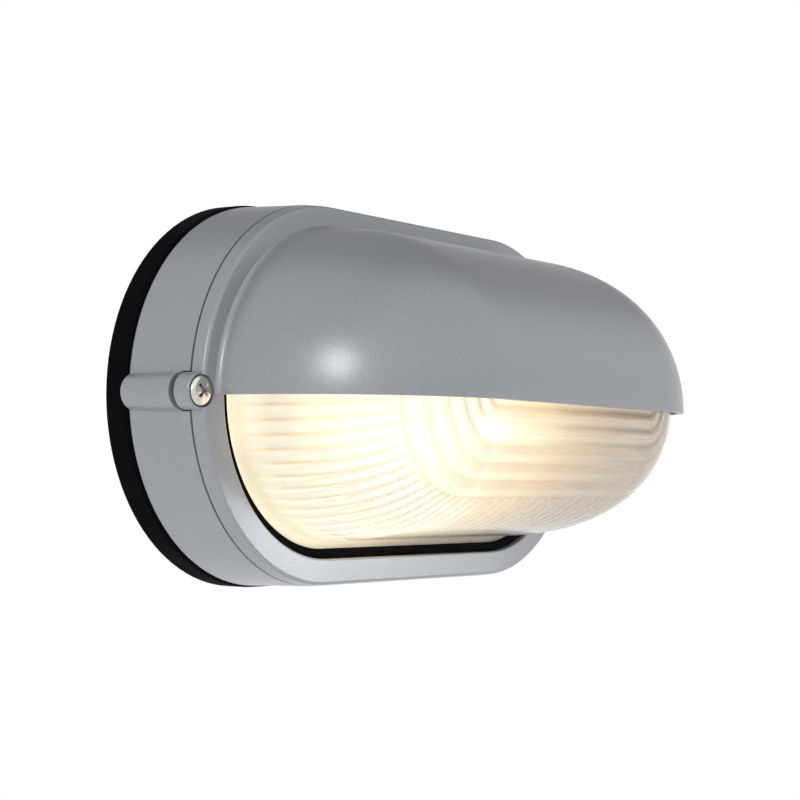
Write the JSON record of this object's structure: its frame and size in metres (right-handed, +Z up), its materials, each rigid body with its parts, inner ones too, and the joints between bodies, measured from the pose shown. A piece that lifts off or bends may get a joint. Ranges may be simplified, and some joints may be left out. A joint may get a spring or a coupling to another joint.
{
  "type": "bulkhead light",
  "caption": "Oval wall bulkhead light: die-cast base on a black rubber pad, cover with half-dome eyelid visor, ribbed glass diffuser and a lamp inside.",
  "frame": {"origin": "centre of the wall face, on the back of the rubber pad", "axes": "+Z up, +X to the right when facing the wall, the light stands out from the wall along -Y"},
  "size_m": [0.2176, 0.101, 0.118],
  "materials": {
    "black_rubber": "satin moulded rubber",
    "silver_coat": "fine metallic powder coat on die-cast aluminium",
    "grommet_rubber": "matt rubber",
    "terminal_plastic": "matt moulded",
    "brass": "plain brass",
    "zinc_steel": "zinc plated",
    "earth_cover": "flexible lead cover",
    "live_cover": "flexible lead cover",
    "neutral_cover": "flexible lead cover",
    "porcelain": "glazed",
    "lamp_envelope": "opal, lit",
    "ribbed_glass": "pressed and frosted",
    "fibre": "vulcanised fibre",
    "nickel_screw": "nickel plated"
  },
  "bodies": {
    "base": {"wall_gasket": "black_rubber", "base_casting": "silver_coat", "cable_grommet": "grommet_rubber", "terminal_block": "terminal_plastic", "terminal_sleeves": "brass", "terminal_screws": "zinc_steel", "block_screws": "zinc_steel", "earth_screw": "brass", "earth_lead": "earth_cover", "live_lead": "live_cover", "neutral_lead": "neutral_cover", "holder_bracket": "zinc_steel", "bracket_screws": "zinc_steel", "holder_body": "porcelain", "holder_shell": "brass", "holder_contact": "brass", "holder_screws": "zinc_steel", "lamp": "lamp_envelope"},
    "cover": {"cover_casting": "silver_coat", "glass_diffuser": "ribbed_glass", "glass_gasket": "black_rubber", "captive_washers": "fibre"},
    "screw_left": {"cover_screw_left": "nickel_screw"},
    "screw_right": {"cover_screw_right": "nickel_screw"}
  },
  "joints": [
    {"name": "cover_release", "type": "slide", "parent": "base", "child": "cover", "axis": [0, -1, 0], "range_m": [0, 0.12]},
    {"name": "left_screw_turn", "type": "hinge", "parent": "cover", "child": "screw_left", "pos_m": [-0.1035, -0.03, -0.0011], "axis": [0, -1, 0], "continuous": true},
    {"name": "right_screw_turn", "type": "hinge", "parent": "cover", "child": "screw_right", "pos_m": [0.1035, -0.03, -0.0011], "axis": [0, -1, 0], "continuous": true}
  ]
}
